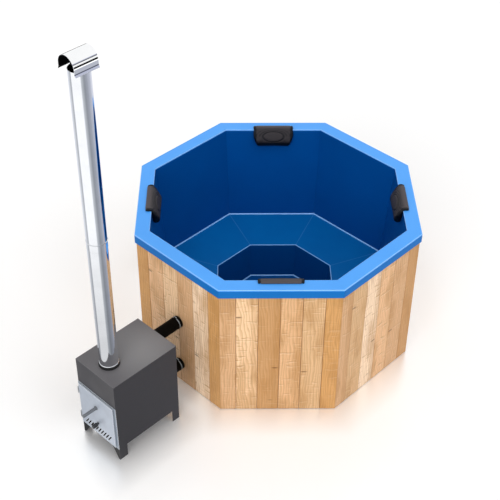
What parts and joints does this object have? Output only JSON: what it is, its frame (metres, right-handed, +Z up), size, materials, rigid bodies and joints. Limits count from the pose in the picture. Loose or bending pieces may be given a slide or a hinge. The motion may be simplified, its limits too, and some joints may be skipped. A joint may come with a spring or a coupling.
{
  "type": "wood-burning hot tub",
  "caption": "Eight-sided timber-clad hot tub with a plastic bench liner, heated through two hoses by an outside wood-burning stove with a tall flue.",
  "frame": {"origin": "centre of the tub on the ground, under the middle joist", "axes": "+Z up, +Y from the stove to the tub, +X to the right seen from the stove door"},
  "size_m": [1.85, 2.784, 2.818],
  "materials": {
    "liner_plastic": "extruded polypropylene sheet, satin",
    "weld_plastic": "extrusion weld bead, paler blue",
    "cladding_wood": "planed spruce boards, clear oiled",
    "frame_wood": "sawn softwood",
    "pillow_vinyl": "moulded foam with a grained skin, charcoal",
    "stove_paint": "heat-proof grey paint, matt",
    "fire_steel": "sooted plate steel",
    "grate_iron": "cast, raw",
    "door_steel": "pale zinc-grey sheet, satin",
    "handle_steel": "dark grey coated rod",
    "seal_rope": "woven glass rope",
    "chimney_steel": "bright stainless sheet",
    "hose_rubber": "black rubber, smooth",
    "clamp_steel": "stainless band",
    "port_steel": "stainless tube",
    "fitting_plastic": "moulded, pale grey",
    "valve_brass": "nickel-free brass, satin",
    "lever_paint": "dipped red sleeve"
  },
  "bodies": {
    "root": {"rim_top": "liner_plastic", "rim_apron": "liner_plastic", "liner_walls": "liner_plastic", "bench_top": "liner_plastic", "footwell_walls": "liner_plastic", "tub_floor": "liner_plastic", "bench_ribs": "liner_plastic", "weld_beads": "weld_plastic", "cladding_front": "cladding_wood", "cladding_front_right": "cladding_wood", "cladding_right": "cladding_wood", "cladding_back_right": "cladding_wood", "cladding_back": "cladding_wood", "cladding_back_left": "cladding_wood", "cladding_left": "cladding_wood", "cladding_front_left": "cladding_wood", "corner_posts": "frame_wood", "frame_rails": "frame_wood", "base_joists": "frame_wood", "pillow_front_right": "pillow_vinyl", "pillow_back_right": "pillow_vinyl", "pillow_back_left": "pillow_vinyl", "pillow_front_left": "pillow_vinyl", "stove_side_left": "stove_paint", "stove_side_right": "stove_paint", "stove_top": "stove_paint", "stove_back": "stove_paint", "stove_bottom": "stove_paint", "stove_front": "stove_paint", "leg_flanges": "stove_paint", "flue_collar": "stove_paint", "firebox_walls": "fire_steel", "ash_pan": "fire_steel", "fire_grate": "grate_iron", "door_frame": "door_steel", "hinge_frame_knuckles": "door_steel", "hinge_pins": "door_steel", "chimney_lower": "chimney_steel", "chimney_upper": "chimney_steel", "chimney_cap": "chimney_steel", "cap_straps": "chimney_steel", "upper_hose": "hose_rubber", "lower_hose": "hose_rubber", "hose_clamps": "clamp_steel", "stove_ports": "port_steel", "tub_port_upper": "port_steel", "tub_port_lower": "port_steel", "port_nuts": "port_steel", "port_grilles": "fitting_plastic", "floor_drain": "fitting_plastic", "drain_pipe": "fitting_plastic", "drain_valve": "valve_brass"},
    "door": {"stove_door": "door_steel", "door_seal": "seal_rope", "hinge_door_knuckles": "door_steel", "door_handle": "handle_steel", "slide_guides": "door_steel"},
    "damper": {"air_slide": "door_steel", "air_knob": "handle_steel"},
    "lever": {"valve_lever": "lever_paint"}
  },
  "joints": [
    {"name": "door_hinge", "type": "hinge", "parent": "root", "child": "door", "pos_m": [-0.112, -1.6735, 0.2865], "axis": [0, 0, -1], "range_deg": [0, 110]},
    {"name": "air_slide", "type": "slide", "parent": "door", "child": "damper", "axis": [-1, 0, 0], "range_m": [0, 0.01225]},
    {"name": "valve_turn", "type": "hinge", "parent": "root", "child": "lever", "pos_m": [0.069, 0.961, 0.0443], "axis": [0, 0, 1], "range_deg": [0, 90]}
  ]
}
